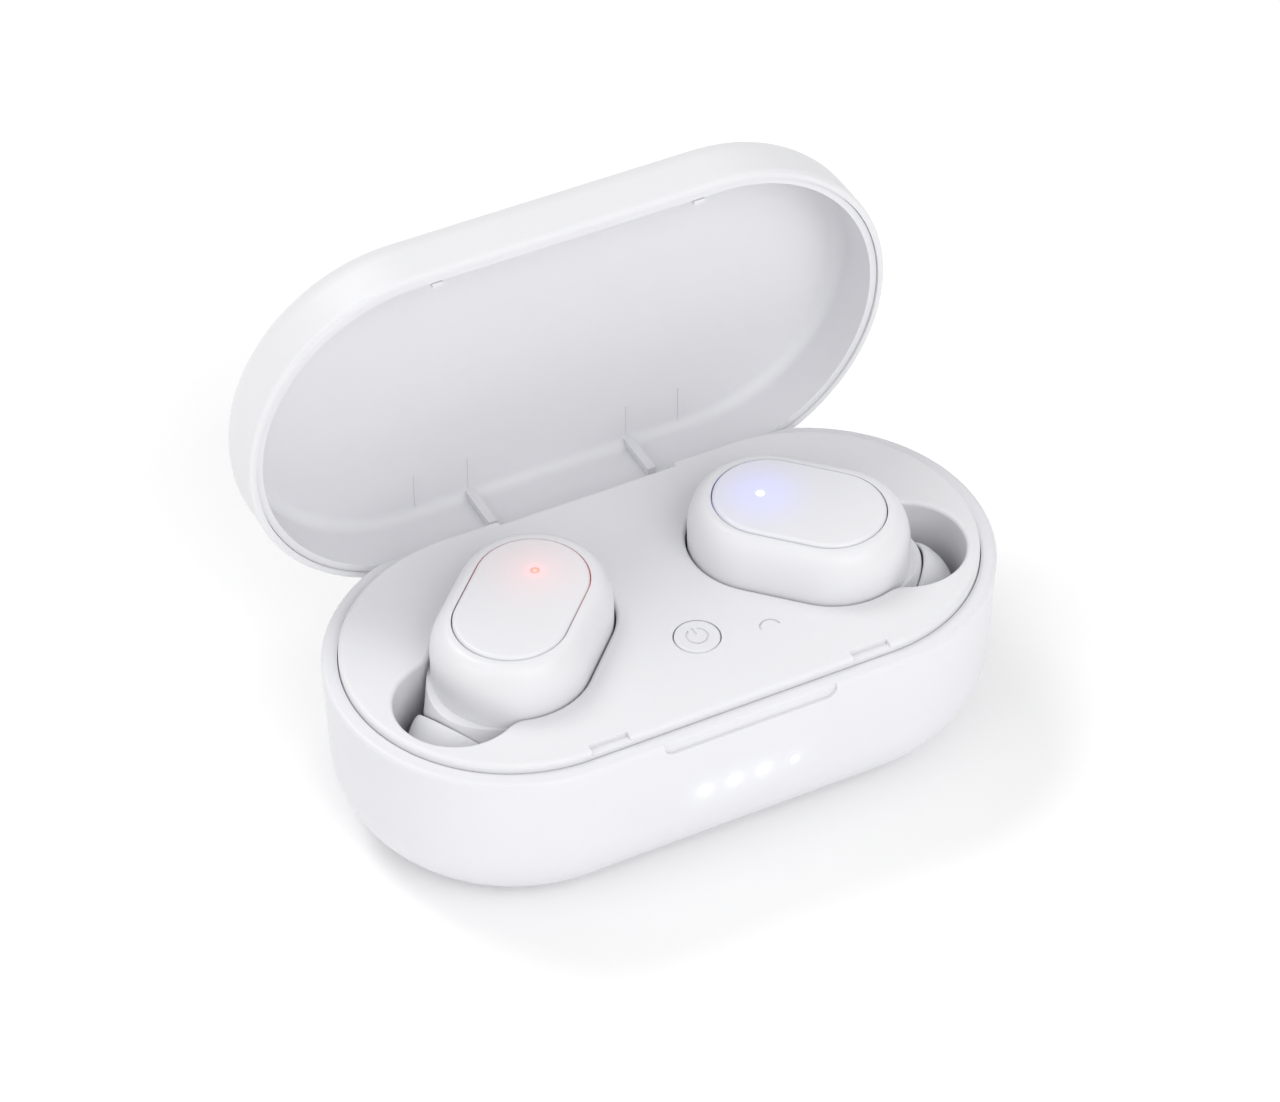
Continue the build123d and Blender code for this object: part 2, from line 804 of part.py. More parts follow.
def make_ear_tip():
    """The silicone tip, a soft dome over the nozzle's tube."""
    bore = nozzle_tube_radius + tip_gap
    with BuildSketch(Plane.XZ) as profile:
        with BuildLine():
            Line((bore, tip_start), (tip_radius - 0.4, tip_start))
            Line((tip_radius - 0.4, tip_start), (tip_radius, tip_start + 0.6))
            Spline(
                (tip_radius, tip_start + 0.6),
                (tip_radius - 0.45, tip_length * 0.55),
                (tip_end_radius, tip_length),
                tangents=((0, 1), (-1, 0.25)),
            )
            Line((tip_end_radius, tip_length), (bore, tip_length))
            Line((bore, tip_length), (bore, tip_start))
        make_face()
    return nozzle_frame(0) * revolve(profile.sketch, Axis.Z, 360)


def make_nozzle_mesh():
    """The metal gauze disc that closes the nozzle's bore."""
    end = nozzle_tube_length
    return cone_along(end - 0.5, end - 0.25, nozzle_bore_radius - 0.03, nozzle_bore_radius - 0.03)


def make_speaker():
    """The speaker capsule at the root of the nozzle."""
    return cone_along(-4.3, -1.6, 3.6, 3.6)


def make_bud_cell():
    """The button cell inside the earbud."""
    return bud_place * post(3.2, 0, bud_seam - 0.3, bud_seam + 3.4, 5.4)


def bud_board_top():
    """The upper face of the earbud's board."""
    return bud_seam + 4.4


def make_bud_board():
    """The earbud's own circuit board, with its switch under the face."""
    top = bud_board_top()
    board = bud_place * slab(oval(bud_length, bud_width, bud_wall + 1.2), top - 0.8, top)
    return board + bud_place * block(-2.6, 0.6, -1.6, 1.6, top - 0.1, top + 1.3)


def make_bud_magnet():
    """The small disc magnet behind the earbud's seat."""
    low = bud_bottom + bud_wall + 0.03
    return bud_place * post(magnet_reach, 0, low, low + bud_magnet_height, magnet_radius)


def make_bud_contacts():
    """Two gold contact discs let into the underside."""
    return [
        bud_place * post(pogo_reach, y, bud_bottom + 0.03, bud_bottom + 0.33, contact_radius)
        for y in (-pogo_spacing / 2, pogo_spacing / 2)
    ]


# ---- write every piece ----
single_pieces = {
    "base_shell": make_base_shell,
    "tray": make_tray,
    "power_button": make_power_button,
    "tact_switch": make_tact_switch,
    "main_board": make_main_board,
    "board_screws": make_board_screws,
    "case_lights": make_case_lights,
    "light_guide": make_light_guide,
    "battery": make_battery,
    "battery_pad": make_battery_pad,
    "charge_board": make_charge_board,
    "usb_socket": make_usb_socket,
    "lid_shell": make_lid_shell,
    "lid_liner": make_lid_liner,
    "hinge_pin": make_hinge_pin,
}
paired_pieces = {
    "contact_pins": make_pogo_pins,
    "contact_strip": make_pogo_board,
    "dock_magnet": make_dock_magnet,
    "bud_shell": make_bud_shell,
    "bud_button": make_bud_button,
    "bud_lamp": make_bud_lamp,
    "bud_inner": make_bud_inner,
    "ear_tip": make_ear_tip,
    "nozzle_mesh": make_nozzle_mesh,
    "speaker": make_speaker,
    "bud_cell": make_bud_cell,
    "bud_board": make_bud_board,
    "bud_magnet": make_bud_magnet,
    "bud_contacts": make_bud_contacts,
}

for name, make in single_pieces.items():
    save(name, make())
for name, make in paired_pieces.items():
    left = make()
    save(f"{name}_left", left)
    save(f"{name}_right", mirrored(left))
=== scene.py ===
# %% [markdown]
# # A charging case for a pair of wireless earbuds
# The case stands open with both earbuds docked. Every hard part already exists as an exact solid, so this
# lesson keeps those shapes and gives them finishes, and rebuilds by mesh code the forms that moulding makes
# soft: the earbuds' lower housings and their silicone tips. One Blender unit is a metre, so millimetres are
# multiplied by MM wherever a size is written.

# %% Load the frame
import json
from functools import partial
from math import cos, pi, radians, sin, sqrt

import bmesh
import bpy
import numpy as np
from mathutils import Matrix, Vector


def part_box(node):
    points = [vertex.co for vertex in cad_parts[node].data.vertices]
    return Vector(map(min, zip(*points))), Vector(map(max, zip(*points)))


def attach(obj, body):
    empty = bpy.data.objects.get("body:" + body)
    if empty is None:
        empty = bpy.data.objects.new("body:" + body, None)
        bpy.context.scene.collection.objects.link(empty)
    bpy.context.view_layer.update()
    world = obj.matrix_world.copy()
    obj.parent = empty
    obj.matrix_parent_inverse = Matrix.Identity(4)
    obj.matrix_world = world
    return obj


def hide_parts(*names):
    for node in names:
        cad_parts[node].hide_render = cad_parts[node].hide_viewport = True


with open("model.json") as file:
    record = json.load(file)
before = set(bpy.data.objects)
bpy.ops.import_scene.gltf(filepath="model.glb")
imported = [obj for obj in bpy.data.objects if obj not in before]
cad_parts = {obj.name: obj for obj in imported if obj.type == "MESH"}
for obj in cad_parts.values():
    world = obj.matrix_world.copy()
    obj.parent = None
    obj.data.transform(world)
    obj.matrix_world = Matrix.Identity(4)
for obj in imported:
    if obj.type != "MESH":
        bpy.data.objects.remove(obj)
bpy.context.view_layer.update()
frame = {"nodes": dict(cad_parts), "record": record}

MM = 0.001

# %% [markdown]
# ## Writing shader maths as Python
# A material is a network of nodes. Wiring one by hand takes many lines, so a small class wraps one output
# socket and overloads the usual operators: an expression such as 1 - mask * 0.5 adds the Math nodes for us.
# Everything that isn't arithmetic comes from Finish.node, which takes a type, its settings and its inputs.

# %% A socket that does arithmetic
class Wire:
    """One value in a material, so that shader maths reads like ordinary maths."""

    def __init__(self, finish, socket):
        self.finish = finish
        self.socket = socket

    def maths(self, operation, *values):
        return self.finish.node("Math", {"operation": operation}, dict(enumerate(values)))

    def __add__(self, other):
        return self.maths("ADD", self, other)

    def __sub__(self, other):
        return self.maths("SUBTRACT", self, other)

    def __rsub__(self, other):
        return self.maths("SUBTRACT", other, self)

    def __mul__(self, other):
        return self.maths("MULTIPLY", self, other)

    def __truediv__(self, other):
        return self.maths("DIVIDE", self, other)

    __radd__ = __add__
    __rmul__ = __mul__

    def clipped(self):
        """The value kept between nought and one."""
        return self.maths("MINIMUM", self.maths("MAXIMUM", self, 0.0), 1.0)

    def exponent(self):
        """The number e raised to this value."""
        return self.maths("EXPONENT", self)


print("sockets can be added, subtracted, multiplied and divided")

# %% [markdown]
# ## One finish, one shader
# Every finish here is a Principled shader. What is the same all over, such as the index of refraction, is set
# on the shader's own socket. Only what changes over the surface is wired in: colour, roughness, glow and the
# bump that stands for moulding grain.

# %% The finish class
class Finish:
    """A material with a Principled shader and the nodes that feed it."""

    def __init__(self, name, **surface):
        self.material = bpy.data.materials.new(name)
        self.material.use_nodes = True
        self.tree = self.material.node_tree
        self.shader = self.tree.nodes["Principled BSDF"]
        self.set(**surface)

    def plug(self, socket, value):
        """Links a wire to a socket, or writes a plain number or colour on it."""
        if isinstance(value, Wire):
            self.tree.links.new(value.socket, socket)
        elif hasattr(value, "__len__") and len(value) == 3 and len(socket.default_value) == 4:
            socket.default_value = (*value, 1.0)
        else:
            socket.default_value = value

    def set(self, **surface):
        """Sets the shader's sockets by name, base_color for Base Color and so on."""
        for name, value in surface.items():
            label = name.replace("_", " ").title().replace("Ior", "IOR")
            self.plug(self.shader.inputs[label], value)

    def node(self, kind, settings=None, inputs=None, output=0):
        """Adds one node: its settings first, then its inputs. Gives back one of its outputs."""
        node = self.tree.nodes.new(f"ShaderNode{kind}")
        for name, value in (settings or {}).items():
            setattr(node, name, value)
        for name, value in (inputs or {}).items():
            self.plug(node.inputs[name], value)
        return Wire(self, node.outputs[output])

    def place(self):
        """The point on the piece, in metres, in the piece's own frame."""
        return self.node("TexCoord", output="Object")

    def noise(self, size, detail=3.0, roughness=0.55, stretch=None):
        """Soft random cloud, from nought to one, with blotches about size metres across."""
        point = self.place()
        if stretch:
            point = self.node("VectorMath", {"operation": "MULTIPLY"}, {0: point, 1: stretch})
        inputs = {"Vector": point, "Scale": 1 / size, "Detail": detail, "Roughness": roughness}
        return self.node("TexNoise", None, inputs)

    def blend(self, factor, first, second):
        """A colour between two others."""
        inputs = {"Factor": factor, 6: first, 7: second}
        return self.node("Mix", {"data_type": "RGBA"}, inputs, output=2)

    def bump(self, height, depth):
        """A surface normal from a height between nought and one, depth metres tall."""
        return self.node("Bump", None, {"Height": height, "Distance": depth, "Strength": 1.0})

    def height(self):
        """How high the surface is, in metres."""
        return self.node("SeparateXYZ", None, {"Vector": self.place()}, output="Z")

    def distance(self, centre):
        """How far the surface is from a point, in metres."""
        inputs = {0: self.place(), 1: centre}
        return self.node("VectorMath", {"operation": "DISTANCE"}, inputs, output="Value")


print("shader helpers ready")

# %% [markdown]
# ## Moulded white plastic
# The case and the earbuds are moulded in white polycarbonate blend: nearly matt, slightly translucent, with a
# spark-eroded grain of a few hundredths of a millimetre. A flat white would look like paper. Three things
# make it plastic: a little subsurface scattering, roughness that drifts where hands polish it, and a fine
# grain in the normal. Each part has its own mix, since no two mouldings come out quite the same.

# %% White plastic
PLASTIC_SCATTER = (1.0 * MM, 0.9 * MM, 0.85 * MM)
DRIFT_SIZE = 14 * MM
POLISH_SIZE = 5 * MM
FINE_SIZE = 0.5 * MM
GRAIN_SIZE = 0.22 * MM
GRAIN_DEPTH = 0.006 * MM


def white_plastic(name, colour, roughness, glow=None):
    """A white moulding: colour, polish and grain all drift a little over the surface."""
    finish = Finish(name, ior=1.47, subsurface_weight=0.12, subsurface_scale=1.0)
    finish.set(subsurface_radius=PLASTIC_SCATTER)
    drift = finish.noise(DRIFT_SIZE, 4.0)
    shade = tuple(0.975 * channel for channel in colour)
    finish.set(base_color=finish.blend(drift, shade, colour))
    polish = finish.noise(POLISH_SIZE, 5.0, 0.6)
    fine = finish.noise(FINE_SIZE, 2.0)
    finish.set(roughness=(roughness - 0.05 + 0.09 * polish + 0.03 * fine).clipped())
    grain = finish.noise(GRAIN_SIZE, 3.0, 0.6)
    finish.set(normal=finish.bump(grain, GRAIN_DEPTH))
    if glow:
        finish.set(emission_color=glow(finish), emission_strength=1.0)
    return finish


print("light travels about", PLASTIC_SCATTER[0] / MM, "mm into the plastic")

# %% [markdown]
# ## Light that leaks into plastic
# A lamp under a white shell lights the plastic round it, strongest at the lens and gone within a few
# millimetres. Real light would scatter there; a cheaper way that holds from every side is to let the shell
# itself glow by its distance from each lamp. A bell curve of that distance fades out smoothly.

# %% Where the lamps are
def top_of(node):
    """The middle of a node's upper end."""
    low, high = (Vector(corner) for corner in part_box(node))
    return Vector(((low.x + high.x) / 2, (low.y + high.y) / 2, high.z))


red_lamp = top_of("bud_lamp_left")
blue_lamp = top_of("bud_lamp_right")
print("earbud lamps at", [round(value / MM, 2) for value in (*red_lamp, *blue_lamp)])

# %% [markdown]
# ## The row of lights in the front wall
# Four lamps on the control board shine through clear pipes that end in the front wall. The pipes are one
# piece, so their places are worked out from the ends of the row. The last lamp is dimmer, as when a battery
# is nearly full and its last light is about to come on.

# %% Where the front lights are
LED_COUNT = 4
LED_SIZE = 1.2 * MM
LED_POWERS = (1.0, 1.0, 1.0, 0.45)
pipes_low, pipes_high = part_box("light_guide")
lights_low, lights_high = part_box("case_lights")
led_pitch = (lights_high[0] - lights_low[0] - LED_SIZE) / (LED_COUNT - 1)
led_height = (pipes_low[2] + pipes_high[2]) / 2
led_xs = [(index - (LED_COUNT - 1) / 2) * led_pitch for index in range(LED_COUNT)]
led_places = [Vector((led_x, pipes_low[1], led_height)) for led_x in led_xs]
print("front lights every", round(led_pitch / MM, 2), "mm")

# %% [markdown]
# ## A halo round each front light
# Each light has a small bright halo and a wider faint one. Both are bell curves of the distance from the
# pipe's end, added up for the four lights and used to blend from black to a cool white.

# %% Halos and the shell's glow
BLACK = (0.0, 0.0, 0.0)
LED_TINT = (0.85, 0.92, 1.0)
LED_NEAR, LED_NEAR_RADIUS = 0.14, 0.85 * MM
LED_WIDE, LED_WIDE_RADIUS = 0.05, 2.2 * MM


def halo(finish, place, strength, radius):
    """A bell-shaped glow, strength at the lamp and nearly nought at twice the radius."""
    away = finish.distance(place) / radius
    return (away * away * -1).exponent() * strength


def case_glow(finish):
    """White halos round the four lights, the last one dimmer."""
    total = 0
    for place, power in zip(led_places, LED_POWERS):
        total = total + halo(finish, place, LED_NEAR * power, LED_NEAR_RADIUS)
        total = total + halo(finish, place, LED_WIDE * power, LED_WIDE_RADIUS)
    return finish.blend(total.clipped(), BLACK, LED_TINT)


print("front halos fade out within", 2 * LED_WIDE_RADIUS / MM, "mm")

# %% [markdown]
# ## The glow on the touch faces
# Each earbud's lamp sits under its touch face, red on the left and blue on the right. The light also runs
# out through the seam round the face, so a third halo counts only below the face's top. The strengths were
# chosen: the red lamp is a small spark with a lit seam, the blue one a wide soft spot.

# %% The touch faces' glow
RED_GLOW = (1.0, 0.03, 0.02)
BLUE_GLOW = (0.03, 0.08, 1.0)
FACE_NEAR_RADIUS = 0.9 * MM
FACE_WIDE_RADIUS = 4.0 * MM
SEAM_RADIUS = 5.2 * MM
SEAM_START = 0.3 * MM
SEAM_FADE = 0.35 * MM


def face_glow(finish, lamp, colour, near, wide, seam):
    """A halo on the touch face, with more light caught in the seam round the face."""
    depth = (lamp.z - SEAM_START - finish.height()) / SEAM_FADE
    seam_light = depth.clipped() * halo(finish, lamp, seam, SEAM_RADIUS)
    near_light = halo(finish, lamp, near, FACE_NEAR_RADIUS)
    total = near_light + halo(finish, lamp, wide, FACE_WIDE_RADIUS) + seam_light
    return finish.blend(total.clipped(), BLACK, colour)


FACE_GLOWS = {
    "left": {"lamp": red_lamp, "colour": RED_GLOW, "near": 0.30, "wide": 0.15, "seam": 1.0},
    "right": {"lamp": blue_lamp, "colour": BLUE_GLOW, "near": 0.15, "wide": 0.28, "seam": 0.20},
}
print("touch faces glow on the", " and ".join(FACE_GLOWS))

# %% [markdown]
# ## The white parts
# The outer shell and the lid's lining are a touch bluer than the tray and the earbuds, and the button is a
# shade darker, as separate mouldings are. The lining is the mattest, and the touch faces, which fingers
# polish, are the smoothest.

# %% The white finishes
COOL_WHITE = (0.75, 0.75, 0.777)
WARM_WHITE = (0.755, 0.755, 0.775)
BUTTON_WHITE = (0.745, 0.745, 0.765)

finishes = {}
finishes["shell_white"] = white_plastic("shell white", COOL_WHITE, 0.42, glow=case_glow)
finishes["tray_white"] = white_plastic("tray white", WARM_WHITE, 0.40)
finishes["lid_white"] = white_plastic("lid white", WARM_WHITE, 0.42)
finishes["liner_white"] = white_plastic("lining white", COOL_WHITE, 0.46)
finishes["button_white"] = white_plastic("button white", BUTTON_WHITE, 0.38)

side_finishes = {}
for side, glow in FACE_GLOWS.items():
    face_name = f"touch face white {side}"
    side_finishes["bud_white", side] = white_plastic(f"earbud white {side}", WARM_WHITE, 0.36)
    side_finishes["face_white", side] = white_plastic(face_name, WARM_WHITE, 0.33, partial(face_glow, **glow))
print(len(finishes) + len(side_finishes), "white finishes")

# %% [markdown]
# ## Silicone
# Silicone tips are softer and more translucent than the shell, with dust on them, so they scatter more and
# shine less. A cloud of two whites stands for the dust, and a very fine bump takes the shine off.

# %% Silicone
SILICONE_SCATTER = (1.6 * MM, 1.5 * MM, 1.4 * MM)
DUSTY_WHITE = (0.70, 0.70, 0.72)
CLEAN_WHITE = (0.78, 0.78, 0.80)

silicone = Finish("silicone", ior=1.41, subsurface_weight=0.35, subsurface_scale=1.0)
silicone.set(subsurface_radius=SILICONE_SCATTER)
silicone.set(base_color=silicone.blend(silicone.noise(2.5 * MM, 4.0), DUSTY_WHITE, CLEAN_WHITE))
silicone.set(roughness=0.50 + 0.14 * silicone.noise(0.8 * MM, 4.0))
silicone.set(normal=silicone.bump(silicone.noise(0.12 * MM, 2.0), 0.004 * MM))
finishes["silicone"] = silicone
print("silicone lets light", SILICONE_SCATTER[0] / MM, "mm in")

# %% [markdown]
# ## Lit lenses and light pipes
# The lamps and the ends of the clear pipes are seen lit. Glass-like clear plastic round a tiny lamp would be
# noisy and slow, so each lens is simply a bright surface: its own colour at the rim, whiter at its middle.

# %% Lenses and pipes
WHITE = (1.0, 1.0, 1.0)
LENS_EDGE = (0.25, 0.22, 0.24)
LENS_MIDDLE = (0.4, 0.36, 0.36)


def lit_lens(name, middle, rim, places, radius, powers, strength):
    """A lit lens: its own colour at the rim, nearly white at the middle."""
    finish = Finish(name, ior=1.49, emission_strength=strength)
    total = 0
    for place, power in zip(places, powers):
        total = total + (1 - finish.distance(place) / radius).clipped() * power
    total = total.clipped()
    finish.set(emission_color=finish.blend(total, rim, middle))
    finish.set(base_color=finish.blend(total, LENS_EDGE, LENS_MIDDLE))
    finish.set(roughness=0.25 + 0.1 * finish.noise(0.3 * MM))
    return finish


PALE_RED, DEEP_RED = (1.0, 0.50, 0.32), (1.0, 0.10, 0.06)
PALE_BLUE = (0.6, 0.8, 1.0)
PIPE_RIM, LAMP_RIM = (0.35, 0.36, 0.40), (0.5, 0.5, 0.45)
finishes["lamp_red"] = lit_lens("red lamp", PALE_RED, DEEP_RED, [red_lamp], 0.5 * MM, [1], 1.0)
finishes["lamp_blue"] = lit_lens("blue lamp", WHITE, PALE_BLUE, [blue_lamp], 0.7 * MM, [1], 1.6)
finishes["clear_pipe"] = lit_lens("lit pipes", WHITE, PIPE_RIM, led_places, 1.6 * MM, LED_POWERS, 1.2)
finishes["lamp_white"] = lit_lens("case lamps", WHITE, LAMP_RIM, led_places, 3.0 * MM, LED_POWERS, 1.0)
print("lit finishes:", [name for name in finishes if name.startswith(("lamp", "clear"))])

# %% [markdown]
# ## Circuit boards
# The boards are hidden until a shell is lifted off, but a reused model may be opened, so they get a finish of
# their own. Copper tracks show as paler raised lines under green lacquer. A brick pattern gives lines that
# run straight and turn square corners, which is enough for boards this small.

# %% Circuit board
TRACK_SIZE = 0.9 * MM
LACQUER_DARK, LACQUER_PALE = (0.015, 0.13, 0.06), (0.03, 0.2, 0.09)
TRACK_GREEN = (0.10, 0.36, 0.17)


def circuit_board():
    """Green lacquer over raised tracks."""
    finish = Finish("circuit board", ior=1.5, coat_roughness=0.2)
    point = finish.node("VectorMath", {"operation": "SCALE"}, {0: finish.place(), "Scale": 1 / TRACK_SIZE})
    pattern = {"Vector": point, "Scale": 1.0, "Mortar Size": 0.06}
    tracks = finish.node("TexBrick", {"offset": 0.5}, pattern, 1)
    lacquer = finish.blend(finish.noise(3 * MM), LACQUER_DARK, LACQUER_PALE)
    finish.set(base_color=finish.blend(tracks * 0.6, lacquer, TRACK_GREEN))
    finish.set(roughness=0.32 + 0.15 * tracks, coat_weight=0.3 + 0.2 * finish.noise(1 * MM))
    finish.set(normal=finish.bump(tracks, 0.02 * MM))
    return finish


finishes["board_green"] = circuit_board()
print("tracks every", TRACK_SIZE / MM, "mm")

# %% [markdown]
# ## Metals, foam and black nylon
# The hinge pin and screws are turned steel, the contacts gold plated, the magnets nickel plated and the cell
# a foil pouch. They differ only in colour, polish and the size and direction of their marks, so one recipe
# makes them all. A second recipe makes the dull parts: the switch's black nylon and the foam tape.

# %% Metals and dull parts
def metal(name, colour, roughness, brushed=(1.0, 1.0, 1.0), size=0.5 * MM):
    """Bare or plated metal, brushed along one axis where the stretch differs."""
    finish = Finish(name, metallic=1.0)
    lines = finish.noise(size, 4.0, 0.7, stretch=brushed)
    dark = tuple(0.82 * channel for channel in colour)
    finish.set(base_color=finish.blend(lines, dark, colour))
    finish.set(roughness=(roughness - 0.06 + 0.16 * lines).clipped())
    finish.set(normal=finish.bump(lines, 0.004 * MM))
    return finish


def dull(name, colour, roughness, size, depth):
    """A dull solid with a visible texture, such as foam or black nylon."""
    finish = Finish(name, ior=1.45)
    cells = finish.noise(size, 5.0, 0.7)
    dark = tuple(0.6 * channel for channel in colour)
    finish.set(base_color=finish.blend(cells, dark, colour))
    finish.set(roughness=(roughness + 0.2 * cells).clipped(), normal=finish.bump(cells, depth))
    return finish


finishes["switch_black"] = dull("switch nylon", (0.05, 0.05, 0.055), 0.45, 0.4 * MM, 0.01 * MM)
finishes["cell_silver"] = metal("foil pouch", (0.72, 0.73, 0.75), 0.34, size=6 * MM)
finishes["steel"] = metal("steel", (0.66, 0.66, 0.68), 0.26, brushed=(0.15, 1.0, 1.0))
finishes["gold"] = metal("gold plating", (0.95, 0.73, 0.36), 0.22)
finishes["magnet"] = metal("plated magnet", (0.62, 0.62, 0.63), 0.3, size=0.8 * MM)
finishes["foam"] = dull("foam tape", (0.16, 0.16, 0.17), 0.75, 0.5 * MM, 0.06 * MM)
finishes["capsule"] = metal("capsule", (0.5, 0.5, 0.52), 0.38)
print(len(finishes), "finishes besides the earbuds' whites")

# %% [markdown]
# ## Nozzle gauze
# A woven steel gauze keeps wax out of the nozzle. Its holes are far too small to model, so a cell pattern
# with hardly any randomness gives rows of dark holes between raised bright wires; the black of the holes is
# painted shade, standing for the nozzle's dark inside seen through them.

# %% Gauze
GAUZE_CELL = 0.28 * MM
HOLE_SHADE_BLACK, WIRE_GREY = (0.02, 0.02, 0.02), (0.5, 0.5, 0.52)


def gauze():
    """Bright woven wires, with holes between them painted black as shade."""
    finish = Finish("gauze", metallic=1.0)
    scaled = finish.node("VectorMath", {"operation": "SCALE"}, {0: finish.place(), "Scale": 1 / GAUZE_CELL})
    weave = {"Vector": scaled, "Scale": 1.0, "Randomness": 0.15}
    cells = finish.node("TexVoronoi", {"feature": "F1"}, weave)
    wires = (cells * 2.2 - 0.55).clipped()
    # the holes are painted shade: black where the weave opens onto the dark nozzle
    finish.set(base_color=finish.blend(wires, HOLE_SHADE_BLACK, WIRE_GREY))
    finish.set(roughness=0.3 + 0.3 * (1 - wires), normal=finish.bump(wires, 0.05 * MM))
    return finish


finishes["gauze"] = gauze()
print(len(finishes) + len(side_finishes), "finishes in all")

# %% [markdown]
# ## Dressing the frame
# Each solid names its finish in the frame's record. The loop looks that name up and puts the finish in the
# object's material slots. The solids already shade smoothly as they come, so their meshes are left alone.

# %% Give each solid its finish
def finish_for(node, slot):
    """The finish a node's slot names, or its own side's where left and right differ."""
    side = node.rsplit("_", 1)[-1]
    return (side_finishes.get((slot, side)) or finishes[slot]).material


node_slots = {row["node"]: row["material_slot"] for row in frame["record"]["subparts"]}
for node, piece in frame["nodes"].items():
    piece.data.materials.clear()
    piece.data.materials.append(finish_for(node, node_slots[node]))
print("dressed", len(node_slots), "solids")

# %% [markdown]
# ## The earbuds' lower housings
# On the real thing the lower housing flows into the nozzle in one soft curve, which is hard to get from a
# solid modeller's edge rounding. A signed distance describes it well: one formula tells how far a point is
# from the rounded body, another from the tapered neck, and a smooth minimum of the two melts them together.
# Seen from a point inside, every part of that surface is in plain view, so a ray in each direction meets it
# once, and halving an interval finds the place. First come the sizes, in millimetres, and the places, which
# are measured on the solids: the seam is the outer housing's lower edge.

# %% Sizes of an earbud, and where it is
BUD_TURN = radians(45)
BUD_LENGTH = 24.0
BUD_WIDTH = 16.8
FOOT_RADIUS = 5.0
NOZZLE_TURN = radians(180 + 28)
NOZZLE_TILT = radians(36)
NOZZLE_REACH = 10.0
NOZZLE_DROP = 4.6
ROOT_RADIUS = 5.2
NECK_RADIUS = 4.7
NECK_LENGTH = 6.5
NECK_ROUND = 0.3
MELT = 3.6
CONTACT_SINK = 0.03

face_low, face_high = (Vector(corner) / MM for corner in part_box("bud_button_left"))
shell_low, shell_high = (Vector(corner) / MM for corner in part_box("bud_shell_left"))
contact_low, _ = (Vector(corner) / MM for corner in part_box("bud_contacts_left"))
bud_centre = np.array([(face_low.x + face_high.x) / 2, (face_low.y + face_high.y) / 2, 0.0])
bud_seam = shell_low.z
bud_bottom = contact_low.z - CONTACT_SINK
out_of_tip = np.array([
    cos(NOZZLE_TURN) * cos(NOZZLE_TILT), sin(NOZZLE_TURN) * cos(NOZZLE_TILT), -sin(NOZZLE_TILT),
])
ring_centre = bud_centre + np.array([
    NOZZLE_REACH * cos(NOZZLE_TURN), NOZZLE_REACH * sin(NOZZLE_TURN), bud_seam - NOZZLE_DROP,
])
print("earbud centre", bud_centre.round(2))
print("seam at", round(bud_seam, 2), "underside at", round(bud_bottom, 2))

# %% [markdown]
# ## Distance to the body, the neck and the two together
# The body below the seam is a racetrack whose wall curves in like a quarter ellipse. The neck is a cone with
# a slightly rounded end where the tip begins. A smooth minimum rounds the inside corner where they meet, as a
# mould's fillet would, over a width that is set in millimetres.

# %% Distance formulas
ALMOST_NOUGHT = 1e-9


def body_distance(points):
    """Millimetres from the rounded racetrack body, less than nought inside."""
    local = points - bud_centre
    along = local[..., 0] * cos(BUD_TURN) + local[..., 1] * sin(BUD_TURN)
    across = local[..., 1] * cos(BUD_TURN) - local[..., 0] * sin(BUD_TURN)
    past_straight = np.maximum(np.abs(along) - (BUD_LENGTH - BUD_WIDTH) / 2, 0.0)
    radius = np.hypot(past_straight, across)
    wide = BUD_WIDTH / 2 - FOOT_RADIUS
    deep = bud_seam - bud_bottom
    outward = np.maximum(radius - FOOT_RADIUS, 0.0)
    below = np.maximum(bud_seam - local[..., 2], 0.0)
    size = np.hypot(outward / wide, below / deep)
    slope = np.hypot(outward / wide ** 2, below / deep ** 2) + ALMOST_NOUGHT
    return size * (size - 1) / slope


def neck_distance(points):
    """Millimetres from the tapered neck, whose end is slightly rounded."""
    local = points - ring_centre
    along = local @ out_of_tip
    radius = np.linalg.norm(local - along[..., None] * out_of_tip, axis=-1)
    taper = (ROOT_RADIUS - NECK_RADIUS) / NECK_LENGTH
    side = (radius - NECK_RADIUS + taper * along + NECK_ROUND) / sqrt(1 + taper ** 2)
    end = along + NECK_ROUND
    outside = np.hypot(np.maximum(side, 0.0), np.maximum(end, 0.0))
    return np.maximum(outside + np.minimum(np.maximum(side, end), 0.0) - NECK_ROUND, -NECK_LENGTH - along)


def housing_distance(points):
    """The two forms melted together over MELT millimetres."""
    body, neck = body_distance(points), neck_distance(points)
    share = np.clip(0.5 + 0.5 * (neck - body) / MELT, 0.0, 1.0)
    return neck + (body - neck) * share - MELT * share * (1 - share)


print("the ring's centre lies", round(-float(housing_distance(ring_centre)), 2), "mm inside the housing")

# %% [markdown]
# ## Finding the surface along rays
# Rays leave a point on the seam's plane that lies on the nozzle's axis, all round and downwards to the
# underside. Each ray starts with one end inside and the other outside, and the interval is halved until it
# closes on the surface, for all rays at once.

# %% Rays
ROUND_STEPS = 240
DOWN_STEPS = 90
HALVINGS = 34
REACH = 30.0
inside_point = ring_centre - (NOZZLE_DROP / sin(NOZZLE_TILT)) * out_of_tip

turns = np.linspace(0, 2 * pi, ROUND_STEPS, endpoint=False)
dips = np.linspace(0, pi / 2, DOWN_STEPS, endpoint=False)
dip_grid, turn_grid = np.meshgrid(dips, turns, indexing="ij")
level = np.cos(dip_grid)
rays = np.stack([level * np.cos(turn_grid), level * np.sin(turn_grid), -np.sin(dip_grid)], -1)
near = np.zeros(rays.shape[:2])
far = np.full(rays.shape[:2], REACH)
for _ in range(HALVINGS):
    middle = (near + far) / 2
    inside = housing_distance(inside_point + rays * middle[..., None]) < 0
    near = np.where(inside, middle, near)
    far = np.where(inside, far, middle)
housing_points = (inside_point + rays * near[..., None]).reshape(-1, 3)
foot_point = np.array([*inside_point[:2], bud_bottom])
print("housing reaches", housing_points.min(0).round(1), "to", housing_points.max(0).round(1))

